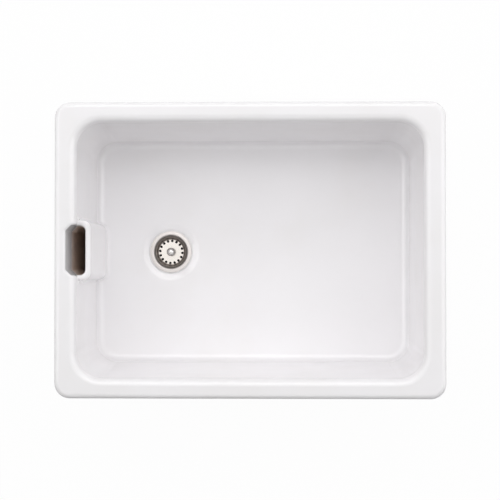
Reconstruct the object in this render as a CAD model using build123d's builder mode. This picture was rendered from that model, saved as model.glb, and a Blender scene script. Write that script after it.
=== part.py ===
"""Apron-front fireclay sink with a weir overflow and a slotted basket strainer waste.

Millimetres. The origin is the centre of the underside. +X runs along the apron, away
from the overflow, +Y runs to the back of the sink, and +Z is up.
"""

from build123d import *
import os
from math import atan, cos, degrees, radians, sin

os.makedirs("parts", exist_ok=True)

# ---------------------------------------------------------------- fireclay basin
basin_length = 600
basin_width = 455
basin_height = 255
outer_corner_radius = 24
outer_draft = 4  # each side is this much further in at the underside than at the rim
end_wall = 33
side_wall = 30.5
bowl_corner_radius = 40
floor_thickness = 45  # at the outlet
end_draft = 5  # the bowl's ends are this much further in at the floor
side_draft = 13
floor_corner_radius = 36
floor_fillet = 13
floor_slope = 0.010  # the floor is a very flat cone that falls to the outlet
rim_outer_radius = 8
rim_inner_radius = 11.5
foot_radius = 5
outlet_from_end = 161.5

# overflow: a slot behind the end wall's face, and the chimney that it drops through
weir_drop = 25  # rim to the top of the chimney
slot_back_wall = 17.4
slot_gap = 27
slot_width = 77
slot_back_chamfer = 8.5  # corners next to the end wall are cut off and rounded
slot_back_radius = 3.8
slot_front_radius = 9  # corners next to the bowl
slot_mouth_radius = 4
chimney_wall = 8
chimney_corner_radius = 12
chimney_root_radius = 6
lip_radius = 3.6
duct_height = 11.5
duct_below_windows = 0.3
duct_outlet_width = 44

# outlet, under a shallow dish in the floor
dish_radius = 48
dish_depth = 2.5
dish_edge_radius = 14
seat_radius = 37.5
outlet_radius = 31
recess_radius = 42
recess_depth = 4

# ------------------------------------------------------------- waste, fixed pieces
sheet = 0.9
flange_radius = 35
flange_opening_radius = 29
flange_crown = 1.5
crown_roll_radius = 2.4
cup_depth = 19.3  # crown of the flange to the cup's floor
cup_flare_depth = 8  # the cup's mouth is flared down to here
cup_neck_radius = 25.5
cup_floor_radius = 25.2
cup_corner_radius = 3
drain_slot_count = 8
drain_slot_length = 8.5
drain_slot_width = 5
drain_slot_circle = 15.2

flange_seal_thickness = 1.5
flange_seal_width = 5
gasket_thickness = 1.5
gasket_width = 6.4

thread_radius = 23.9
tail_bore_radius = 20.5
tail_below_base = 45
tail_chamfer = 1
collar_radius = 28.5
collar_thickness = 4
window_count = 6
window_width = 15
window_height = 9.5
window_corner_radius = 2
window_below_collar = 1.5
relief_depth = 1.2
relief_width = 2.5
relief_below_nut = 1
hub_radius = 8.5
hub_length = 13
hub_drop = 2.5  # top of the collar to the top of the hub
spoke_count = 3
spoke_width = 3.2
spoke_height = 9

shank_radius = 6
shank_below_hub = 1
screw_bore_radius = 4.6
screw_head_radius = 8.5
screw_head_height = 2.4
driver_slot_width = 2
driver_slot_depth = 1.2
washer_radius = 9.6
washer_thickness = 1

bottom_seal_radius = 38
bottom_seal_thickness = 5
spigot_height = 4.4
spigot_taper = 1.2
slip_washer_radius = 37
slip_washer_thickness = 1.5
nut_flange_radius = 37
nut_flange_thickness = 2
nut_across_flats = 62
nut_height = 8.5
nut_chamfer = 1.2

thread_clearance = 0.1
washer_clearance = 0.3
spigot_clearance = 0.5

# ----------------------------------------------------------- waste, basket strainer
basket_sheet = 0.8
basket_depth = 5.6
basket_lip_radius = 25.6
basket_wall_radius = 24.6
basket_floor_radius = 22.2
basket_bend_radius = 1.6
lip_bend_radius = 0.9
hole_count = 16
hole_radius = 2.2
hole_circle_radius = 18.9
first_hole_angle = 85

knob_radius = 7
knob_neck_radius = 4.8
knob_neck_height = 4
knob_side_height = 10
knob_height = 15
socket_depth = 9

stem_radius = 2.5
stem_end_inset = 0.2  # inside the end of the screw
stem_ring_radius = 3.8
stem_ring_thickness = 1.4
stem_collar_radius = 4.4
stem_collar_height = 2.2
sleeve_radius = 5
sleeve_length = 1.8

carrier_sheet = 1
carrier_crown_radius = 10.8
carrier_shoulder_radius = 12.5
carrier_drop = 3.2  # crown to flange
carrier_radius = 20.5
carrier_bend_radius = 0.6
ring_radius = 22.2
ring_inner_radius = 15
ring_lip_inner_radius = 15.5
ring_lip_thickness = 1.2

catch_length = 8
catch_split_width = 1

stem_clearance = 0.1
running_clearance = 0.05
catch_clearance = 0.3
closing_clearance = 0.3  # ring to cup floor
screw_head_clearance = 0.6

# --------------------------------------------------- places worked out from the sizes
bowl_length = basin_length - 2 * end_wall
bowl_width = basin_width - 2 * side_wall
outlet_x = -basin_length / 2 + outlet_from_end
outlet_axis = Axis((outlet_x, 0, 0), (0, 0, 1))
profile_plane = Plane((outlet_x, 0, 0), x_dir=(1, 0, 0), z_dir=(0, -1, 0))
floor_z = floor_thickness

slot_x = -basin_length / 2 + slot_back_wall + slot_gap / 2
chimney_length = slot_gap + 2 * chimney_wall
chimney_width = slot_width + 2 * chimney_wall
chimney_top = basin_height - weir_drop
shoulder_z = chimney_top - lip_radius

seat_z = floor_z - dish_depth
flange_z = seat_z + flange_seal_thickness
crown_z = flange_z + flange_crown
cup_floor_z = crown_z - cup_depth
collar_top = cup_floor_z - sheet - gasket_thickness
collar_bottom = collar_top - collar_thickness
window_z = collar_bottom - window_below_collar - window_height / 2
duct_bottom = window_z - window_height / 2 - duct_below_windows
hub_top = collar_top - hub_drop
hub_bottom = hub_top - hub_length
washer_top = cup_floor_z + washer_thickness
screw_top = washer_top + screw_head_height
bottom_seal_z = recess_depth - bottom_seal_thickness
slip_washer_z = bottom_seal_z - slip_washer_thickness
nut_z = slip_washer_z - nut_height
relief_top = nut_z - relief_below_nut

stem_end_z = hub_bottom - shank_below_hub + stem_end_inset
stem_collar_z = screw_top + screw_head_clearance
carrier_crown_z = stem_collar_z + stem_collar_height
carrier_z = carrier_crown_z - carrier_drop
sleeve_z = carrier_crown_z + carrier_sheet
basket_z = sleeve_z + sleeve_length
knob_z = basket_z + basket_sheet
ring_z = cup_floor_z + closing_clearance
catch_z = stem_end_z + stem_ring_thickness + running_clearance
catch_top = catch_z + catch_length


# sink_basin: one fireclay casting. The overflow slot has this outline from its mouth to
# its foot
with BuildSketch() as slot_outline:
    with Locations((slot_x, 0)):
        Rectangle(slot_gap, slot_width)
    fillet(slot_outline.vertices().group_by(Axis.X)[-1], slot_front_radius)
    chamfer(slot_outline.vertices().group_by(Axis.X)[0], slot_back_chamfer)
    back_corners = slot_outline.vertices().group_by(Axis.X)[:2]
    fillet(back_corners[0] + back_corners[1], slot_back_radius)

# space in the bowl: tapered walls, a conical floor, and the chimney of the overflow
# standing against the end wall
with BuildPart() as bowl_space:
    with BuildSketch(Plane.XY.offset(basin_height)):
        RectangleRounded(bowl_length, bowl_width, bowl_corner_radius)
    with BuildSketch(Plane.XY.offset(floor_z)):
        RectangleRounded(
            bowl_length - 2 * end_draft, bowl_width - 2 * side_draft, floor_corner_radius
        )
    loft(ruled=True)
    with BuildSketch(profile_plane):
        with BuildLine():
            Polyline(
                (0, floor_z),
                (basin_length, floor_z + basin_length * floor_slope),
                (basin_length, 0),
                (0, 0),
                close=True,
            )
        make_face()
    revolve(axis=outlet_axis, mode=Mode.SUBTRACT)
    fillet(bowl_space.faces().sort_by(Axis.Z)[0].edges(), floor_fillet)
    with BuildSketch(Plane.XY.offset(shoulder_z)):
        with Locations((slot_x, 0)):
            RectangleRounded(chimney_length, chimney_width, chimney_corner_radius)
    extrude(amount=-shoulder_z, mode=Mode.SUBTRACT)
    reach = chimney_root_radius / 2
    chimney_edges = (
        bowl_space.edges()
        .filter_by_position(Axis.X, slot_x, slot_x + chimney_length / 2 + reach)
        .filter_by_position(Axis.Y, -chimney_width / 2 - reach, chimney_width / 2 + reach)
        .filter_by_position(Axis.Z, 0, shoulder_z - reach)
    )
    fillet(chimney_edges - chimney_edges.filter_by(Axis.Z), chimney_root_radius)

# the chimney's lip, rounded over on both sides
with BuildPart() as weir_lip:
    with BuildSketch(Plane.XY.offset(shoulder_z - lip_radius)):
        with Locations((slot_x, 0)):
            RectangleRounded(chimney_length, chimney_width, chimney_corner_radius)
        add(slot_outline.sketch_local, mode=Mode.SUBTRACT)
    extrude(amount=2 * lip_radius)
    fillet(weir_lip.faces().sort_by(Axis.Z)[-1].edges(), lip_radius)
    split(bisect_by=Plane.YZ.offset(slot_x), keep=Keep.TOP)

with BuildPart() as sink_basin:
    with BuildSketch(Plane.XY.offset(basin_height)):
        RectangleRounded(basin_length, basin_width, outer_corner_radius)
    extrude(amount=-basin_height, taper=degrees(atan(outer_draft / basin_height)))
    add(bowl_space.part, mode=Mode.SUBTRACT)
    fillet(sink_basin.faces().sort_by(Axis.Z)[-1].inner_wires()[0].edges(), rim_inner_radius)

    # overflow slot, open to the bowl above the chimney. Its mouth and the edge that runs on
    # from it along the rim are rounded in one loop
    with BuildSketch(Plane.XY.offset(basin_height)):
        add(slot_outline.sketch_local)
    extrude(amount=duct_bottom - basin_height, mode=Mode.SUBTRACT)
    reach = slot_mouth_radius / 2
    mouth_edges = (
        sink_basin.edges()
        .filter_by_position(Axis.X, slot_x, slot_x + slot_gap / 2 - reach)
        .filter_by_position(Axis.Y, -slot_width / 2 - reach, slot_width / 2 + reach)
        .filter_by_position(Axis.Z, chimney_top, basin_height - reach)
    )
    fillet(mouth_edges, slot_mouth_radius)

    # outside of the rim, and the foot
    fillet(sink_basin.faces().sort_by(Axis.Z)[-1].outer_wire().edges(), rim_outer_radius)
    fillet(sink_basin.faces().sort_by(Axis.Z)[0].outer_wire().edges(), foot_radius)

    # dish, seat, outlet and the recess for the seal underneath
    with BuildSketch(profile_plane):
        with BuildLine():
            Polyline(
                (0, 0),
                (recess_radius, 0),
                (recess_radius, recess_depth),
                (outlet_radius, recess_depth),
                (outlet_radius, seat_z),
                (seat_radius, seat_z),
                (dish_radius, floor_z + dish_radius * floor_slope),
                (dish_radius, basin_height),
                (0, basin_height),
                close=True,
            )
        make_face()
    revolve(axis=outlet_axis, mode=Mode.SUBTRACT)
    dish_edge = (
        sink_basin.edges()
        .filter_by(GeomType.CIRCLE)
        .filter_by(lambda edge: abs(edge.radius - dish_radius) < running_clearance)
    )
    fillet(dish_edge, dish_edge_radius)

    # lip of the weir, and the duct from the foot of the slot to the outlet
    add(weir_lip.part)
    with BuildSketch(Plane.XY.offset(duct_bottom)):
        add(slot_outline.sketch_local)
        with Locations((outlet_x, 0)):
            Circle(duct_outlet_width / 2)
        make_hull()
    extrude(amount=duct_height, mode=Mode.SUBTRACT)
sink_basin.part.label = "sink_basin"
export_step(sink_basin.part, "parts/sink_basin.step")


# flange_seal: flat rubber ring between the seat and the edge of the flange
with BuildPart() as flange_seal:
    with BuildSketch(Plane.XY.offset(seat_z)):
        with Locations((outlet_x, 0)):
            Circle(flange_radius - washer_clearance)
            Circle(flange_radius - flange_seal_width, mode=Mode.SUBTRACT)
    extrude(amount=flange_seal_thickness)
flange_seal.part.label = "flange_seal"
export_step(flange_seal.part, "parts/flange_seal.step")


# waste_flange: flange and cup pressed from one sheet, with drain slots in the floor
with BuildPart() as waste_flange:
    with BuildSketch(profile_plane):
        with BuildLine():
            FilletPolyline(
                (flange_radius, flange_z + sheet),
                (flange_opening_radius, crown_z),
                (cup_neck_radius, crown_z - cup_flare_depth),
                (cup_floor_radius, cup_floor_z),
                (shank_radius + washer_clearance, cup_floor_z),
                radius=[crown_roll_radius, cup_corner_radius, cup_corner_radius],
            )
            offset(amount=sheet, side=Side.LEFT)
        make_face()
    revolve(axis=outlet_axis)
    with BuildSketch(Plane.XY.offset(cup_floor_z)):
        with Locations((outlet_x, 0)):
            with PolarLocations(drain_slot_circle, drain_slot_count):
                SlotOverall(drain_slot_length, drain_slot_width)
    extrude(amount=-2 * sheet, mode=Mode.SUBTRACT)
waste_flange.part.label = "waste_flange"
export_step(waste_flange.part, "parts/waste_flange.step")


# cup_gasket: flat rubber ring between the cup and the collar of the tail
with BuildPart() as cup_gasket:
    with BuildSketch(Plane.XY.offset(collar_top)):
        with Locations((outlet_x, 0)):
            Circle(tail_bore_radius + gasket_width)
            Circle(tail_bore_radius, mode=Mode.SUBTRACT)
    extrude(amount=gasket_thickness)
cup_gasket.part.label = "cup_gasket"
export_step(cup_gasket.part, "parts/cup_gasket.step")


# slotted_tail: cast brass tube with a collar, windows level with the overflow duct, and
# a bridge whose hub takes the centre screw
with BuildPart() as slotted_tail:
    with BuildSketch(profile_plane):
        with BuildLine():
            Polyline(
                (tail_bore_radius, -tail_below_base),
                (thread_radius - tail_chamfer, -tail_below_base),
                (thread_radius, tail_chamfer - tail_below_base),
                (thread_radius, relief_top - relief_width),
                (thread_radius - relief_depth, relief_top - relief_width),
                (thread_radius - relief_depth, relief_top),
                (thread_radius, relief_top),
                (thread_radius, collar_bottom),
                (collar_radius, collar_bottom),
                (collar_radius, collar_top),
                (tail_bore_radius, collar_top),
                close=True,
            )
        make_face()
    revolve(axis=outlet_axis)
    for index in range(window_count):
        angle = radians(index * 360 / window_count)
        window_plane = Plane(
            (outlet_x, 0, window_z),
            x_dir=(-sin(angle), cos(angle), 0),
            z_dir=(cos(angle), sin(angle), 0),
        )
        with BuildSketch(window_plane.offset(hub_radius + shank_radius)):
            RectangleRounded(window_width, window_height, window_corner_radius)
        extrude(amount=collar_radius, mode=Mode.SUBTRACT)
    with BuildSketch(Plane.XY.offset(hub_top)):
        with Locations((outlet_x, 0)):
            Circle(hub_radius)
            with PolarLocations(0, spoke_count, start_angle=180 / window_count):
                Rectangle(
                    tail_bore_radius + relief_depth,
                    spoke_width,
                    align=(Align.MIN, Align.CENTER),
                )
    extrude(amount=-spoke_height)
    with BuildSketch(Plane.XY.offset(hub_top)):
        with Locations((outlet_x, 0)):
            Circle(hub_radius)
    extrude(amount=-hub_length)
    with BuildSketch(Plane.XY.offset(hub_top)):
        with Locations((outlet_x, 0)):
            Circle(shank_radius + thread_clearance)
    extrude(amount=-hub_length, mode=Mode.SUBTRACT)
slotted_tail.part.label = "slotted_tail"
export_step(slotted_tail.part, "parts/slotted_tail.step")


# screw_washer and centre_screw: the hollow screw draws the cup down on the tail
with BuildPart() as screw_washer:
    with BuildSketch(Plane.XY.offset(cup_floor_z)):
        with Locations((outlet_x, 0)):
            Circle(washer_radius)
            Circle(shank_radius + washer_clearance, mode=Mode.SUBTRACT)
    extrude(amount=washer_thickness)
screw_washer.part.label = "screw_washer"
export_step(screw_washer.part, "parts/screw_washer.step")

with BuildPart() as centre_screw:
    with BuildSketch(Plane.XY.offset(washer_top)):
        with Locations((outlet_x, 0)):
            Circle(screw_head_radius)
    extrude(amount=screw_head_height)
    chamfer(centre_screw.edges().sort_by(Axis.Z)[-1], screw_head_height / 4)
    with BuildSketch(Plane.XY.offset(hub_bottom - shank_below_hub)):
        with Locations((outlet_x, 0)):
            Circle(shank_radius)
    extrude(until=Until.NEXT)
    with BuildSketch(Plane.XY.offset(screw_top)):
        with Locations((outlet_x, 0)):
            Circle(screw_bore_radius)
    extrude(amount=-basin_height, mode=Mode.SUBTRACT)
    with BuildSketch(Plane.XY.offset(screw_top)):
        with Locations((outlet_x, 0)):
            Rectangle(2 * screw_head_radius, driver_slot_width)
            Rectangle(driver_slot_width, 2 * screw_head_radius)
    extrude(amount=-driver_slot_depth, mode=Mode.SUBTRACT)
centre_screw.part.label = "centre_screw"
export_step(centre_screw.part, "parts/centre_screw.step")


# bottom_seal: rubber ring in the recess, with a tapered spigot up into the outlet
with BuildPart() as bottom_seal:
    with BuildSketch(profile_plane):
        with BuildLine():
            Polyline(
                (thread_radius + washer_clearance, bottom_seal_z),
                (bottom_seal_radius, bottom_seal_z),
                (bottom_seal_radius, recess_depth),
                (outlet_radius - spigot_clearance, recess_depth),
                (outlet_radius - spigot_clearance - spigot_taper, recess_depth + spigot_height),
                (thread_radius + washer_clearance, recess_depth + spigot_height),
                close=True,
            )
        make_face()
    revolve(axis=outlet_axis)
bottom_seal.part.label = "bottom_seal"
export_step(bottom_seal.part, "parts/bottom_seal.step")


# slip_washer: hard plastic ring that lets the nut turn without dragging the seal
with BuildPart() as slip_washer:
    with BuildSketch(Plane.XY.offset(slip_washer_z)):
        with Locations((outlet_x, 0)):
            Circle(slip_washer_radius)
            Circle(thread_radius + washer_clearance, mode=Mode.SUBTRACT)
    extrude(amount=slip_washer_thickness)
slip_washer.part.label = "slip_washer"
export_step(slip_washer.part, "parts/slip_washer.step")


# backnut: flanged hexagon nut on the thread of the tail
with BuildPart() as backnut:
    with BuildSketch(Plane.XY.offset(nut_z)):
        with Locations((outlet_x, 0)):
            RegularPolygon(nut_across_flats / 2, 6, major_radius=False)
    extrude(amount=nut_height)
    chamfer(backnut.faces().sort_by(Axis.Z)[0].edges(), nut_chamfer)
    with BuildSketch(Plane.XY.offset(slip_washer_z)):
        with Locations((outlet_x, 0)):
            Circle(nut_flange_radius)
    extrude(amount=-nut_flange_thickness)
    with BuildSketch(Plane.XY.offset(slip_washer_z)):
        with Locations((outlet_x, 0)):
            Circle(thread_radius + thread_clearance)
    extrude(amount=-nut_height, mode=Mode.SUBTRACT)
backnut.part.label = "backnut"
export_step(backnut.part, "parts/backnut.step")


# basket_strainer: pressed tray with a turned-out lip and a ring of drain holes
with BuildPart() as basket_strainer:
    with BuildSketch(profile_plane):
        with BuildLine():
            FilletPolyline(
                (basket_lip_radius, knob_z + basket_depth),
                (basket_wall_radius, knob_z + basket_depth),
                (basket_floor_radius, knob_z),
                (stem_radius + stem_clearance, knob_z),
                radius=[lip_bend_radius, basket_bend_radius],
            )
            offset(amount=basket_sheet, side=Side.LEFT)
        make_face()
    revolve(axis=outlet_axis)
    with BuildSketch(Plane.XY.offset(knob_z)):
        with Locations((outlet_x, 0)):
            with PolarLocations(hole_circle_radius, hole_count, start_angle=first_hole_angle):
                Circle(hole_radius)
    extrude(amount=-2 * basket_sheet, mode=Mode.SUBTRACT)
basket_strainer.part.label = "basket_strainer"
export_step(basket_strainer.part, "parts/basket_strainer.step")


# basket_knob: turned knob with a waisted neck and a domed top, screwed on the stem
with BuildPart() as basket_knob:
    with BuildSketch(profile_plane):
        with BuildLine():
            Polyline(
                (0, knob_z + knob_height),
                (0, knob_z + socket_depth),
                (stem_radius + stem_clearance, knob_z + socket_depth),
                (stem_radius + stem_clearance, knob_z),
                (knob_radius, knob_z),
            )
            waist = ThreePointArc(
                (knob_radius, knob_z),
                (knob_neck_radius, knob_z + knob_neck_height),
                (knob_radius, knob_z + 2 * knob_neck_height),
            )
            side = Line(waist @ 1, (knob_radius, knob_z + knob_side_height))
            TangentArc(
                (0, knob_z + knob_height), side @ 1, tangent=(1, 0)
            )
        make_face()
    revolve(axis=outlet_axis)
basket_knob.part.label = "basket_knob"
export_step(basket_knob.part, "parts/basket_knob.step")


# basket_stem: turned pin. Its collar carries the plate, the sleeve and the basket, which
# the knob clamps, and two rings near its end hold the catch
with BuildPart() as basket_stem:
    with BuildSketch(profile_plane):
        with BuildLine():
            Polyline(
                (0, stem_end_z),
                (stem_ring_radius, stem_end_z),
                (stem_ring_radius, stem_end_z + stem_ring_thickness),
                (stem_radius, stem_end_z + stem_ring_thickness),
                (stem_radius, catch_top + running_clearance),
                (stem_ring_radius, catch_top + running_clearance),
                (stem_ring_radius, catch_top + running_clearance + stem_ring_thickness),
                (stem_radius, catch_top + running_clearance + stem_ring_thickness),
                (stem_radius, stem_collar_z),
                (stem_collar_radius, stem_collar_z),
                (stem_collar_radius, carrier_crown_z),
                (stem_radius, carrier_crown_z),
                (stem_radius, knob_z + socket_depth),
                (0, knob_z + socket_depth),
                close=True,
            )
        make_face()
    revolve(axis=outlet_axis)
basket_stem.part.label = "basket_stem"
export_step(basket_stem.part, "parts/basket_stem.step")


# seal_carrier: dished plate that clears the head of the screw
with BuildPart() as seal_carrier:
    with BuildSketch(profile_plane):
        with BuildLine():
            FilletPolyline(
                (carrier_radius, carrier_z + carrier_sheet),
                (carrier_shoulder_radius, carrier_z + carrier_sheet),
                (carrier_crown_radius, sleeve_z),
                (stem_radius + stem_clearance, sleeve_z),
                radius=carrier_bend_radius,
            )
            offset(amount=carrier_sheet, side=Side.LEFT)
        make_face()
    revolve(axis=outlet_axis)
seal_carrier.part.label = "seal_carrier"
export_step(seal_carrier.part, "parts/seal_carrier.step")


# basket_seal: rubber ring, grooved to snap over the edge of the plate
with BuildPart() as basket_seal:
    with BuildSketch(profile_plane):
        with BuildLine():
            Polyline(
                (ring_inner_radius, ring_z),
                (ring_radius, ring_z),
                (ring_radius, carrier_z + carrier_sheet + ring_lip_thickness),
                (ring_lip_inner_radius, carrier_z + carrier_sheet + ring_lip_thickness),
                (ring_lip_inner_radius, carrier_z + carrier_sheet),
                (carrier_radius, carrier_z + carrier_sheet),
                (carrier_radius, carrier_z),
                (ring_inner_radius, carrier_z),
                close=True,
            )
        make_face()
    revolve(axis=outlet_axis)
basket_seal.part.label = "basket_seal"
export_step(basket_seal.part, "parts/basket_seal.step")


# spacer_sleeve: tube that holds the basket above the plate
with BuildPart() as spacer_sleeve:
    with BuildSketch(Plane.XY.offset(sleeve_z)):
        with Locations((outlet_x, 0)):
            Circle(sleeve_radius)
            Circle(stem_radius + stem_clearance, mode=Mode.SUBTRACT)
    extrude(amount=sleeve_length)
spacer_sleeve.part.label = "spacer_sleeve"
export_step(spacer_sleeve.part, "parts/spacer_sleeve.step")


# stem_catch: split nylon bush that the stem turns in. It grips the bore of the screw
with BuildPart() as stem_catch:
    with BuildSketch(Plane.XY.offset(catch_z)):
        with Locations((outlet_x, 0)):
            Circle(screw_bore_radius - catch_clearance)
            Circle(stem_radius + running_clearance, mode=Mode.SUBTRACT)
            Rectangle(
                screw_bore_radius,
                catch_split_width,
                align=(Align.MIN, Align.CENTER),
                mode=Mode.SUBTRACT,
            )
    extrude(amount=catch_length)
stem_catch.part.label = "stem_catch"
export_step(stem_catch.part, "parts/stem_catch.step")
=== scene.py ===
from math import radians

import bpy
from mathutils import Matrix, Vector


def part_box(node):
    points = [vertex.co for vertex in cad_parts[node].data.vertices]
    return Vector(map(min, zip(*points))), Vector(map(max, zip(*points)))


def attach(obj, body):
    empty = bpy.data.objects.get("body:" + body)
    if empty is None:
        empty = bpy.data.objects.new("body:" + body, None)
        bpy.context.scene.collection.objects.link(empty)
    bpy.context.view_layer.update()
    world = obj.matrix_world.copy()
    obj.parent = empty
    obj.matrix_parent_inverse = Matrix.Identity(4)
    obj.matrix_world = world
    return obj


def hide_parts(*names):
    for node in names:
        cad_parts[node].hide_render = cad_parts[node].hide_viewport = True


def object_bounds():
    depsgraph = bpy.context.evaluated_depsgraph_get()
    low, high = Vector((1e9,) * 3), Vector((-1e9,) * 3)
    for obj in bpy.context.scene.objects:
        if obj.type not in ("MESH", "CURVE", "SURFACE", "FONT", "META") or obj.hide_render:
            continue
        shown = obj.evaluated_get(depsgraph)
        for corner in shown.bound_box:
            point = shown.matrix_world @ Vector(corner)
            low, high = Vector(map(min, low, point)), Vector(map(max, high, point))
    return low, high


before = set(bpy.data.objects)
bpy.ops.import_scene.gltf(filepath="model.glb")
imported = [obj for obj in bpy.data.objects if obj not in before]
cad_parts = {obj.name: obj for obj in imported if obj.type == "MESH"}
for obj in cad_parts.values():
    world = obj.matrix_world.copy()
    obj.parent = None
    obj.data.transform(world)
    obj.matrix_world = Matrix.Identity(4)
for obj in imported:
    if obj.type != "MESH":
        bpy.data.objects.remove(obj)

cad_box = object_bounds()
scene = bpy.context.scene
mm = 0.001


# ------------------------------------------------------------------- fireclay basin
# One slip-cast fireclay body under a thick white gloss glaze, fired standing on its
# underside. The glaze runs a little, so the surface is never quite flat, and it is wiped
# off the foot, the outlet and the inside of the overflow, where the buff clay shows.

def new_material(name):
    """An empty node material: its tree and its Principled shader."""
    material = bpy.data.materials.new(name)
    material.use_nodes = True
    return material, material.node_tree, material.node_tree.nodes["Principled BSDF"]


def wear_finish(node, material):
    """Gives a CAD node its finish."""
    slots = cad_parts[node].data.materials
    slots.clear()
    slots.append(material)


def new_group(name, inputs, outputs):
    """An empty shader node group with named sockets: its tree, input node and output node."""
    tree = bpy.data.node_groups.new(name, "ShaderNodeTree")
    for label, kind, default in inputs:
        socket = tree.interface.new_socket(label, in_out="INPUT", socket_type=kind)
        if default is not None:
            socket.default_value = default
    for label, kind in outputs:
        tree.interface.new_socket(label, in_out="OUTPUT", socket_type=kind)
    return tree, tree.nodes.new("NodeGroupInput"), tree.nodes.new("NodeGroupOutput")


def feed(tree, socket, value):
    """Sets an input to a number or a colour, or links another node's output to it."""
    if hasattr(value, "is_linked"):
        tree.links.new(value, socket)
    else:
        socket.default_value = value


def math_node(tree, operation, first, second=0):
    """A Math node. Each of its two inputs is a number or a socket."""
    node = tree.nodes.new("ShaderNodeMath")
    node.operation = operation
    feed(tree, node.inputs[0], first)
    feed(tree, node.inputs[1], second)
    return node.outputs["Value"]


def mix_colour(tree, factor, first, second):
    """A blend of two colours. Each is a colour or a socket."""
    node = tree.nodes.new("ShaderNodeMix")
    node.data_type = "RGBA"
    tree.links.new(factor, node.inputs["Factor"])
    feed(tree, node.inputs["A"], first)
    feed(tree, node.inputs["B"], second)
    return node.outputs["Result"]


def spread(tree, value, low, high):
    """Low where the value is 0, and high where it is 1."""
    node = tree.nodes.new("ShaderNodeMapRange")
    node.inputs["To Min"].default_value = low
    node.inputs["To Max"].default_value = high
    tree.links.new(value, node.inputs["Value"])
    return node.outputs["Result"]


def edge_mask(tree, value, edge, softness):
    """1 beyond the edge and 0 before it, or the other way round if softness is negative."""
    node = tree.nodes.new("ShaderNodeMapRange")
    node.interpolation_type = "SMOOTHSTEP"
    node.inputs["From Min"].default_value = edge - softness
    node.inputs["From Max"].default_value = edge + softness
    tree.links.new(value, node.inputs["Value"])
    return node.outputs["Result"]


def noise(tree, coordinates, scale, detail):
    """A noise texture on the given coordinates."""
    node = tree.nodes.new("ShaderNodeTexNoise")
    node.inputs["Scale"].default_value = scale
    node.inputs["Detail"].default_value = detail
    tree.links.new(coordinates, node.inputs["Vector"])
    return node.outputs["Fac"]


def object_place(tree):
    """Object coordinates, and their X, Y and Z."""
    place = tree.nodes.new("ShaderNodeTexCoord").outputs["Object"]
    axes = tree.nodes.new("ShaderNodeSeparateXYZ")
    tree.links.new(place, axes.inputs["Vector"])
    return place, axes.outputs["X"], axes.outputs["Y"], axes.outputs["Z"]


def raise_surface(tree, shader, height, strength, distance):
    """Shows a height in the shader's normals."""
    bump = tree.nodes.new("ShaderNodeBump")
    bump.inputs["Strength"].default_value = strength
    bump.inputs["Distance"].default_value = distance
    tree.links.new(height, bump.inputs["Height"])
    tree.links.new(bump.outputs["Normal"], shader.inputs["Normal"])


# glaze_run: the slow waves of a glaze that ran, and the fine orange peel on them
glaze_run, run_in, run_out = new_group(
    "glaze_run",
    [("Coordinates", "NodeSocketVector", None), ("Peel", "NodeSocketFloat", 0.12)],
    [("Height", "NodeSocketFloat"), ("Cloud", "NodeSocketFloat")],
)
waves = noise(glaze_run, run_in.outputs["Coordinates"], 16.0, 1.0)
peel = noise(glaze_run, run_in.outputs["Coordinates"], 190.0, 2.0)
cloud = noise(glaze_run, run_in.outputs["Coordinates"], 9.0, 4.0)
peel_part = math_node(glaze_run, "MULTIPLY", peel, run_in.outputs["Peel"])
glaze_run.links.new(math_node(glaze_run, "ADD", waves, peel_part), run_out.inputs["Height"])
glaze_run.links.new(cloud, run_out.inputs["Cloud"])

glaze_white = (0.935, 0.922, 0.935, 1)
glaze_thin = (0.920, 0.905, 0.912, 1)
clay_buff = (0.86, 0.75, 0.67, 1)
clay_dark = (0.86, 0.73, 0.64, 1)
foot_height = 7 * mm  # the glaze is wiped off up to here at most
wipe_wander = 6 * mm  # a wiped edge wanders down by up to this
sink_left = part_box("sink_basin")[0].x
slot_outer_edge = sink_left + 14 * mm
slot_inner_edge = sink_left + 45.5 * mm
slot_half_width = 39.3 * mm
slot_glaze_end = 194 * mm  # above the base: below this the slot is bare clay
slot_glaze_fade = 8 * mm
outlet_x = (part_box("waste_flange")[0].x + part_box("waste_flange")[1].x) / 2
outlet_half_width = 33 * mm
seat_height = 42.4 * mm

fireclay, tree, shader = new_material("fireclay_white_glaze")
place, place_x, place_y, place_z = object_place(tree)
run = tree.nodes.new("ShaderNodeGroup")
run.node_tree = glaze_run
tree.links.new(place, run.inputs["Coordinates"])

cloud_steps = tree.nodes.new("ShaderNodeMapRange")
cloud_steps.inputs["From Min"].default_value = 0.35
cloud_steps.inputs["From Max"].default_value = 0.55
tree.links.new(run.outputs["Cloud"], cloud_steps.inputs["Value"])
glaze_tone = mix_colour(tree, cloud_steps.outputs["Result"], glaze_thin, glaze_white)

# where the clay is bare: the foot, the overflow's inside and the outlet
edge_wander = math_node(tree, "MULTIPLY", noise(tree, place, 60.0, 3.0), wipe_wander)
wandering_z = math_node(tree, "ADD", place_z, edge_wander)
from_middle = math_node(tree, "ABSOLUTE", place_y)
on_foot = math_node(tree, "LESS_THAN", wandering_z, foot_height)
in_slot = math_node(tree, "LESS_THAN", place_x, slot_inner_edge)
for side in (
    math_node(tree, "LESS_THAN", from_middle, slot_half_width),
    math_node(tree, "GREATER_THAN", place_x, slot_outer_edge),
    edge_mask(tree, wandering_z, slot_glaze_end, -slot_glaze_fade),
):
    in_slot = math_node(tree, "MULTIPLY", in_slot, side)
from_outlet = math_node(tree, "ABSOLUTE", math_node(tree, "SUBTRACT", place_x, outlet_x))
in_outlet = math_node(tree, "LESS_THAN", from_outlet, outlet_half_width)
for side in (
    math_node(tree, "LESS_THAN", from_middle, outlet_half_width),
    math_node(tree, "LESS_THAN", place_z, seat_height),
):
    in_outlet = math_node(tree, "MULTIPLY", in_outlet, side)
bare = math_node(tree, "MAXIMUM", math_node(tree, "MAXIMUM", on_foot, in_slot), in_outlet)

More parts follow.
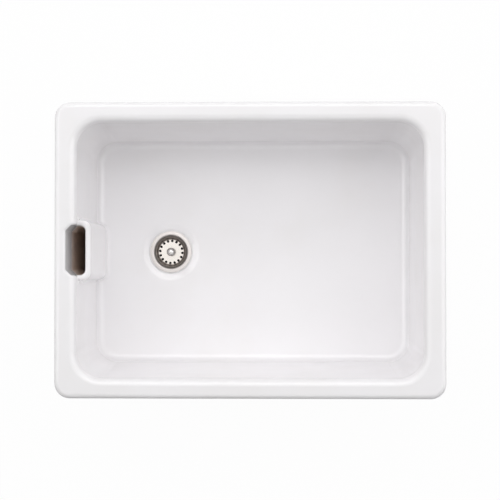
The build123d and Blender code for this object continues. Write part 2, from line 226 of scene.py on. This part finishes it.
clay_tone = mix_colour(tree, noise(tree, place, 300.0, 6.0), clay_dark, clay_buff)
tree.links.new(mix_colour(tree, bare, glaze_tone, clay_tone), shader.inputs["Base Color"])
roughness = tree.nodes.new("ShaderNodeMix")
tree.links.new(bare, roughness.inputs["Factor"])
tree.links.new(spread(tree, run.outputs["Cloud"], 0.11, 0.19), roughness.inputs["A"])
roughness.inputs["B"].default_value = 0.85
tree.links.new(roughness.outputs["Result"], shader.inputs["Roughness"])
raise_surface(tree, shader, run.outputs["Height"], 0.5, 0.6 * mm)
shader.inputs["IOR"].default_value = 1.52
wear_finish("sink_basin", fireclay)


# --------------------------------------------------------------- waste flange and cup
# Pressed from one sheet of stainless steel and given a satin finish on the lathe. The flange is
# bright, and the drawn wall and the floor of the cup are rougher and darkened with painted shade
# for the shade and dark reflections inside the cup.

# turned_lines: fine rings round an upright axis, as a lathe or a polishing wheel leaves
turned_lines, lines_in, lines_out = new_group(
    "turned_lines",
    [
        ("Coordinates", "NodeSocketVector", None),
        ("Axis X", "NodeSocketFloat", outlet_x),
        ("Lines per Metre", "NodeSocketFloat", 2500.0),
    ],
    [
        ("Height", "NodeSocketFloat"),
        ("Radius", "NodeSocketFloat"),
        ("Smudge", "NodeSocketFloat"),
    ],
)
axes = turned_lines.nodes.new("ShaderNodeSeparateXYZ")
turned_lines.links.new(lines_in.outputs["Coordinates"], axes.inputs["Vector"])
across = math_node(turned_lines, "SUBTRACT", axes.outputs["X"], lines_in.outputs["Axis X"])
across = math_node(turned_lines, "POWER", math_node(turned_lines, "ABSOLUTE", across), 2)
along = math_node(turned_lines, "ABSOLUTE", axes.outputs["Y"])
along = math_node(turned_lines, "POWER", along, 2)
radius = math_node(turned_lines, "SQRT", math_node(turned_lines, "ADD", across, along))
climb = math_node(turned_lines, "ADD", radius, axes.outputs["Z"])
ring_noise = turned_lines.nodes.new("ShaderNodeTexNoise")
ring_noise.noise_dimensions = "1D"
ring_noise.inputs["Detail"].default_value = 3
ring_noise.inputs["Scale"].default_value = 1
turned_lines.links.new(
    math_node(turned_lines, "MULTIPLY", climb, lines_in.outputs["Lines per Metre"]),
    ring_noise.inputs["W"],
)
turned_lines.links.new(ring_noise.outputs["Fac"], lines_out.inputs["Height"])
turned_lines.links.new(radius, lines_out.inputs["Radius"])
smudge = noise(turned_lines, lines_in.outputs["Coordinates"], 55.0, 4.0)
turned_lines.links.new(smudge, lines_out.inputs["Smudge"])

zone_softness = 0.25 * mm
zone_dullness = 0.16  # how much rougher a turned metal is in its dark zone


def turned_metal(name, bright, dull, smooth, rough, lines, depth, painted_shade_zone=None):
    """A turned metal, whose colour and polish vary between the two given with smudges.
    A painted-shade zone gives a colour of painted shade and the two radii that it lies between,
    where the metal is also rougher."""
    material, tree, shader = new_material(name)
    rings = tree.nodes.new("ShaderNodeGroup")
    rings.node_tree = turned_lines
    rings.inputs["Lines per Metre"].default_value = lines
    rings.inputs["Axis X"].default_value = outlet_x
    tree.links.new(object_place(tree)[0], rings.inputs["Coordinates"])
    colour = mix_colour(tree, rings.outputs["Smudge"], bright, dull)
    polish = spread(tree, rings.outputs["Smudge"], smooth, rough)
    # painted shade: between the two radii the colour turns to the given dark one, standing in
    # for shade and dark reflections in a hollow
    if painted_shade_zone:
        dark, inner, outer = painted_shade_zone
        beyond = edge_mask(tree, rings.outputs["Radius"], inner, zone_softness)
        within = edge_mask(tree, rings.outputs["Radius"], outer, -zone_softness)
        zone = math_node(tree, "MULTIPLY", beyond, within)
        colour = mix_colour(tree, zone, colour, dark)
        polish = math_node(tree, "ADD", polish, math_node(tree, "MULTIPLY", zone, zone_dullness))
    tree.links.new(colour, shader.inputs["Base Color"])
    tree.links.new(polish, shader.inputs["Roughness"])
    raise_surface(tree, shader, rings.outputs["Height"], 0.4, depth)
    shader.inputs["Metallic"].default_value = 1
    return material


stainless = turned_metal(
    "stainless_steel_polished", bright=(0.58, 0.55, 0.535, 1), dull=(0.53, 0.50, 0.485, 1),
    smooth=0.50, rough=0.58, lines=2500, depth=0.02 * mm,
    # painted shade on the cup's drawn wall and floor, from 12 mm out to the opening
    painted_shade_zone=((0.42, 0.385, 0.36, 1), 12 * mm, 27.4 * mm),
)
for node in ("waste_flange", "centre_screw", "screw_washer",
             "seal_carrier", "spacer_sleeve", "basket_stem"):
    wear_finish(node, stainless)


# ------------------------------------------------------------------- basket strainer
# Pressed from thinner stainless steel. The floor is polished. The wall and the lip are rougher
# and darkened with painted shade for the dark reflections and shade in them, and each of the 16
# holes has a rolled edge.
basket_steel = turned_metal(
    "stainless_steel_basket", bright=(0.88, 0.83, 0.775, 1), dull=(0.79, 0.75, 0.705, 1),
    smooth=0.14, rough=0.24, lines=1800, depth=0.01 * mm,
    # painted shade and painted dark reflection on the basket's wall and lip
    painted_shade_zone=((0.19, 0.165, 0.15, 1), 20.9 * mm, 30 * mm),
)
wear_finish("basket_strainer", basket_steel)


def new_tree(name, inputs):
    """An empty Geometry Nodes tree with named inputs: its tree, input node and output node."""
    tree = bpy.data.node_groups.new(name, "GeometryNodeTree")
    tree.interface.new_socket("Geometry", in_out="OUTPUT", socket_type="NodeSocketGeometry")
    for label, kind in inputs:
        tree.interface.new_socket(label, in_out="INPUT", socket_type=kind)
    return tree, tree.nodes.new("NodeGroupInput"), tree.nodes.new("NodeGroupOutput")


def close_tree(tree, geometry, material, tree_out):
    """Ends the tree with real meshes in the given material."""
    real = tree.nodes.new("GeometryNodeRealizeInstances")
    tree.links.new(geometry, real.inputs["Geometry"])
    painted = tree.nodes.new("GeometryNodeSetMaterial")
    tree.links.new(real.outputs["Geometry"], painted.inputs["Geometry"])
    tree.links.new(material, painted.inputs["Material"])
    tree.links.new(painted.outputs["Geometry"], tree_out.inputs["Geometry"])


def grow(name, tree, values, body, material):
    """Adds a plain mesh made by the tree with these inputs, which rides on the body."""
    maker = bpy.data.objects.new(name + "_maker", bpy.data.meshes.new(name + "_maker"))
    scene.collection.objects.link(maker)
    modifier = maker.modifiers.new("grow", "NODES")
    modifier.node_group = tree
    for item in tree.interface.items_tree:
        if item.in_out == "INPUT":
            modifier[item.identifier] = values[item.name]
    shape = maker.evaluated_get(bpy.context.evaluated_depsgraph_get())
    mesh = bpy.data.meshes.new_from_object(shape)
    mesh.name = name
    bpy.data.objects.remove(maker)
    piece = bpy.data.objects.new(name, mesh)
    scene.collection.objects.link(piece)
    mesh.materials.clear()
    mesh.materials.append(material)
    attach(piece, body)


# ring_of_rims: one rolled edge round each hole of a ring of holes
ring_of_rims, rim_in, rim_out = new_tree(
    "ring_of_rims",
    [("Centre", "NodeSocketVector"), ("Holes", "NodeSocketInt"),
     ("Circle Radius", "NodeSocketFloat"), ("First Angle", "NodeSocketFloat"),
     ("Hole Radius", "NodeSocketFloat"), ("Edge Radius", "NodeSocketFloat"),
     ("Material", "NodeSocketMaterial")],
)
nodes, links = ring_of_rims.nodes, ring_of_rims.links
hole_centres = nodes.new("GeometryNodeMeshCircle")
links.new(rim_in.outputs["Holes"], hole_centres.inputs["Vertices"])
links.new(rim_in.outputs["Circle Radius"], hole_centres.inputs["Radius"])
turn = nodes.new("ShaderNodeCombineXYZ")
links.new(rim_in.outputs["First Angle"], turn.inputs["Z"])
turned = nodes.new("GeometryNodeTransform")
links.new(hole_centres.outputs["Mesh"], turned.inputs["Geometry"])
links.new(rim_in.outputs["Centre"], turned.inputs["Translation"])
links.new(turn.outputs["Vector"], turned.inputs["Rotation"])
hole_edge = nodes.new("GeometryNodeCurvePrimitiveCircle")
hole_edge.inputs["Resolution"].default_value = 40
links.new(rim_in.outputs["Hole Radius"], hole_edge.inputs["Radius"])
bead = nodes.new("GeometryNodeCurvePrimitiveCircle")
bead.inputs["Resolution"].default_value = 12
links.new(rim_in.outputs["Edge Radius"], bead.inputs["Radius"])
swept = nodes.new("GeometryNodeCurveToMesh")
links.new(hole_edge.outputs["Curve"], swept.inputs["Curve"])
links.new(bead.outputs["Curve"], swept.inputs["Profile Curve"])
placed = nodes.new("GeometryNodeInstanceOnPoints")
links.new(turned.outputs["Geometry"], placed.inputs["Points"])
links.new(swept.outputs["Mesh"], placed.inputs["Instance"])
close_tree(ring_of_rims, placed.outputs["Instances"], rim_in.outputs["Material"], rim_out)

basket_floor_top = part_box("basket_knob")[0].z
grow(
    "hole_rims", ring_of_rims,
    {"Centre": (outlet_x, 0, basket_floor_top), "Holes": 16, "Circle Radius": 18.9 * mm,
     "First Angle": radians(85), "Hole Radius": 2.42 * mm, "Edge Radius": 0.17 * mm,
     "Material": basket_steel},
    "basket", basket_steel,
)


# ---------------------------------------------------------------------- rubber seals
# Moulded black rubber, matt, with a little bloom. They seal the flange to the basin, the
# cup to the tail, the underside of the basin, and the basket to the floor of the cup.
rubber_black = (0.016, 0.016, 0.017, 1)
rubber_bloom = (0.042, 0.040, 0.039, 1)
rubber, tree, shader = new_material("rubber_black")
place = object_place(tree)[0]
bloom = mix_colour(tree, noise(tree, place, 120.0, 5.0), rubber_black, rubber_bloom)
tree.links.new(bloom, shader.inputs["Base Color"])
raise_surface(tree, shader, noise(tree, place, 1500.0, 2.0), 0.3, 0.05 * mm)
shader.inputs["Roughness"].default_value = 0.72
shader.inputs["Specular IOR Level"].default_value = 0.3
for node in ("flange_seal", "cup_gasket", "bottom_seal", "basket_seal"):
    wear_finish(node, rubber)


# --------------------------------------------------------------------- brass and nylon
# The tail and its nut are cast brass, turned where they seat. The slip washer under the
# nut and the split catch on the stem are natural white nylon.
brass = turned_metal(
    "brass_turned", bright=(0.72, 0.53, 0.25, 1), dull=(0.52, 0.36, 0.16, 1),
    smooth=0.22, rough=0.42, lines=1500, depth=0.03 * mm,
)
wear_finish("backnut", brass)

# the tail's own shape, with the plain cylinder of its thread cut back to the root
thread_crest = 23.9 * mm
thread_root = 22.8 * mm
thread_pitch = 2.309 * mm
thread_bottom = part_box("slotted_tail")[0].z + 1.2 * mm  # just above the end's chamfer
thread_top = -14.6 * mm  # just below the nut
cad_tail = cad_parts["slotted_tail"]
tail_mesh = cad_tail.data.copy()
tail_mesh.name = "threaded_tail"
tail_mesh.transform(cad_tail.matrix_world)
for vertex in tail_mesh.vertices:
    from_axis = Vector((vertex.co.x - outlet_x, vertex.co.y))
    if thread_root < from_axis.length and vertex.co.z < thread_top:
        cut = thread_root / from_axis.length
        vertex.co.x = outlet_x + from_axis.x * cut
        vertex.co.y = from_axis.y * cut
tail_mesh.materials.clear()
tail_mesh.materials.append(brass)
threaded_tail = bpy.data.objects.new("threaded_tail", tail_mesh)
scene.collection.objects.link(threaded_tail)
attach(threaded_tail, "sink")
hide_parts("slotted_tail")

# thread_ridge: a rounded ridge wound round an upright cylinder
thread_ridge, ridge_in, ridge_out = new_tree(
    "thread_ridge",
    [("Foot", "NodeSocketVector"), ("Turns", "NodeSocketFloat"), ("Radius", "NodeSocketFloat"),
     ("Length", "NodeSocketFloat"), ("Ridge Radius", "NodeSocketFloat"),
     ("Material", "NodeSocketMaterial")],
)
nodes, links = thread_ridge.nodes, thread_ridge.links
helix = nodes.new("GeometryNodeCurveSpiral")
helix.inputs["Resolution"].default_value = 72
links.new(ridge_in.outputs["Turns"], helix.inputs["Rotations"])
links.new(ridge_in.outputs["Radius"], helix.inputs["Start Radius"])
links.new(ridge_in.outputs["Radius"], helix.inputs["End Radius"])
links.new(ridge_in.outputs["Length"], helix.inputs["Height"])
ridge = nodes.new("GeometryNodeCurvePrimitiveCircle")
ridge.inputs["Resolution"].default_value = 10
links.new(ridge_in.outputs["Ridge Radius"], ridge.inputs["Radius"])
swept = nodes.new("GeometryNodeCurveToMesh")
swept.inputs["Fill Caps"].default_value = True
links.new(helix.outputs["Curve"], swept.inputs["Curve"])
links.new(ridge.outputs["Curve"], swept.inputs["Profile Curve"])
placed = nodes.new("GeometryNodeTransform")
links.new(swept.outputs["Mesh"], placed.inputs["Geometry"])
links.new(ridge_in.outputs["Foot"], placed.inputs["Translation"])
close_tree(thread_ridge, placed.outputs["Geometry"], ridge_in.outputs["Material"], ridge_out)

ridge_radius = 0.85 * mm
crest_clearance = 0.02 * mm  # keeps the ridge inside the solid's cylinder
thread_length = thread_top - thread_bottom - 2 * ridge_radius
grow(
    "tail_thread", thread_ridge,
    {"Foot": (outlet_x, 0, thread_bottom + ridge_radius),
     "Turns": thread_length / thread_pitch, "Length": thread_length,
     "Radius": thread_crest - ridge_radius - crest_clearance,
     "Ridge Radius": ridge_radius, "Material": brass},
    "sink", brass,
)

nylon_cream = (0.74, 0.72, 0.66, 1)
nylon_white = (0.82, 0.81, 0.77, 1)
nylon, tree, shader = new_material("nylon_natural")
cast = noise(tree, object_place(tree)[0], 80.0, 3.0)
tree.links.new(mix_colour(tree, cast, nylon_cream, nylon_white), shader.inputs["Base Color"])
shader.inputs["Roughness"].default_value = 0.45
for node in ("slip_washer", "stem_catch"):
    wear_finish(node, nylon)


# ------------------------------------------------------------------------ basket knob
# Turned brass under chrome plate, waisted below its domed head so that wet fingers can
# pull it.
chrome = turned_metal(
    "chrome_bright", bright=(0.58, 0.57, 0.555, 1), dull=(0.52, 0.51, 0.50, 1),
    smooth=0.24, rough=0.32, lines=900, depth=0.004 * mm,
)
wear_finish("basket_knob", chrome)


# ------------------------------------------------------- floor, lamps, world and camera
# A pale floor under the tail of the waste, soft lamps overhead, behind, in front and at
# both ends, and a white world. The camera looks straight down from about two metres.
floor_half = 6.0
floor_gap = 0.2 * mm
floor_z = cad_box[0][2] - floor_gap
floor_mesh = bpy.data.meshes.new("studio_floor")
floor_mesh.from_pydata(
    [(-floor_half, -floor_half, floor_z), (floor_half, -floor_half, floor_z),
     (floor_half, floor_half, floor_z), (-floor_half, floor_half, floor_z)],
    [], [(0, 1, 2, 3)],
)
studio_floor = bpy.data.objects.new("studio_floor", floor_mesh)
scene.collection.objects.link(studio_floor)

# the camera sees the floor as white, apart from a small share that shows the shadow
shadow_share = 0.035
floor_paint, tree, shader = new_material("floor_white")
shader.inputs["Base Color"].default_value = (0.90, 0.90, 0.90, 1)
shader.inputs["Roughness"].default_value = 0.9
glow = tree.nodes.new("ShaderNodeEmission")
glow.inputs["Color"].default_value = (1, 1, 1, 1)
glow.inputs["Strength"].default_value = 1.0
ray = tree.nodes.new("ShaderNodeLightPath")
glow_share = math_node(tree, "MULTIPLY", ray.outputs["Is Camera Ray"], 1 - shadow_share)
blend = tree.nodes.new("ShaderNodeMixShader")
tree.links.new(glow_share, blend.inputs["Fac"])
tree.links.new(shader.outputs["BSDF"], blend.inputs[1])
tree.links.new(glow.outputs["Emission"], blend.inputs[2])
tree.links.new(blend.outputs["Shader"], tree.nodes["Material Output"].inputs["Surface"])
floor_mesh.materials.append(floor_paint)


def soft_lamp(name, place, size, energy):
    """A square area lamp that points at the middle of the sink."""
    data = bpy.data.lights.new(name, "AREA")
    data.shape = "SQUARE"
    data.size = size
    data.energy = energy
    lamp = bpy.data.objects.new(name, data)
    lamp.location = place
    lamp.rotation_euler = (-Vector(place)).to_track_quat("-Z", "Y").to_euler()
    scene.collection.objects.link(lamp)


soft_lamp("key_lamp", (0, 1.35, 2.3), 1.65, 20.5)
soft_lamp("high_left_lamp", (-1.7, 0.3, 2.6), 1.6, 19.5)
soft_lamp("high_right_lamp", (1.7, 0.3, 2.6), 1.6, 16.8)
soft_lamp("rear_left_lamp", (-1.7, 2.3, 1.3), 1.6, 9.8)
soft_lamp("rear_right_lamp", (1.7, 2.3, 1.3), 1.6, 11.8)
soft_lamp("left_lamp", (-2.2, 0, 0.9), 1.3, 5.8)
soft_lamp("right_lamp", (2.2, 0, 0.9), 1.3, 9.4)
soft_lamp("front_lamp", (0, -1.1, 1.4), 0.8, 2.0)

# the world is white where it is seen or mirrored, and otherwise gives a little light
world_light = 0.135
world = bpy.data.worlds.new("studio")
scene.world = world
world.use_nodes = True
tree = world.node_tree
sky = tree.nodes["Background"]
sky.inputs["Color"].default_value = (1, 1, 1, 1)
ray = tree.nodes.new("ShaderNodeLightPath")
seen = math_node(tree, "MAXIMUM", ray.outputs["Is Camera Ray"], ray.outputs["Is Glossy Ray"])
seen = math_node(tree, "MAXIMUM", seen, ray.outputs["Is Transmission Ray"])
tree.links.new(spread(tree, seen, world_light, 1.0), sky.inputs["Strength"])

rim_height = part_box("sink_basin")[1].z
camera_place = Vector((0.0475, -0.029, 2.166))
camera_target = Vector((0, 0, rim_height))
camera_data = bpy.data.cameras.new("camera")
camera_data.sensor_width = 36
camera_data.lens = 90.24
camera_data.shift_x = 0.00106
camera = bpy.data.objects.new("camera", camera_data)
backwards = (camera_place - camera_target).normalized()
sideways = Vector((0, 1, 0)).cross(backwards).normalized()
upwards = backwards.cross(sideways)
facing = Matrix((sideways, upwards, backwards)).transposed().to_4x4()
camera.matrix_world = Matrix.Translation(camera_place) @ facing
scene.collection.objects.link(camera)
scene.camera = camera
scene.view_settings.view_transform = "Standard"
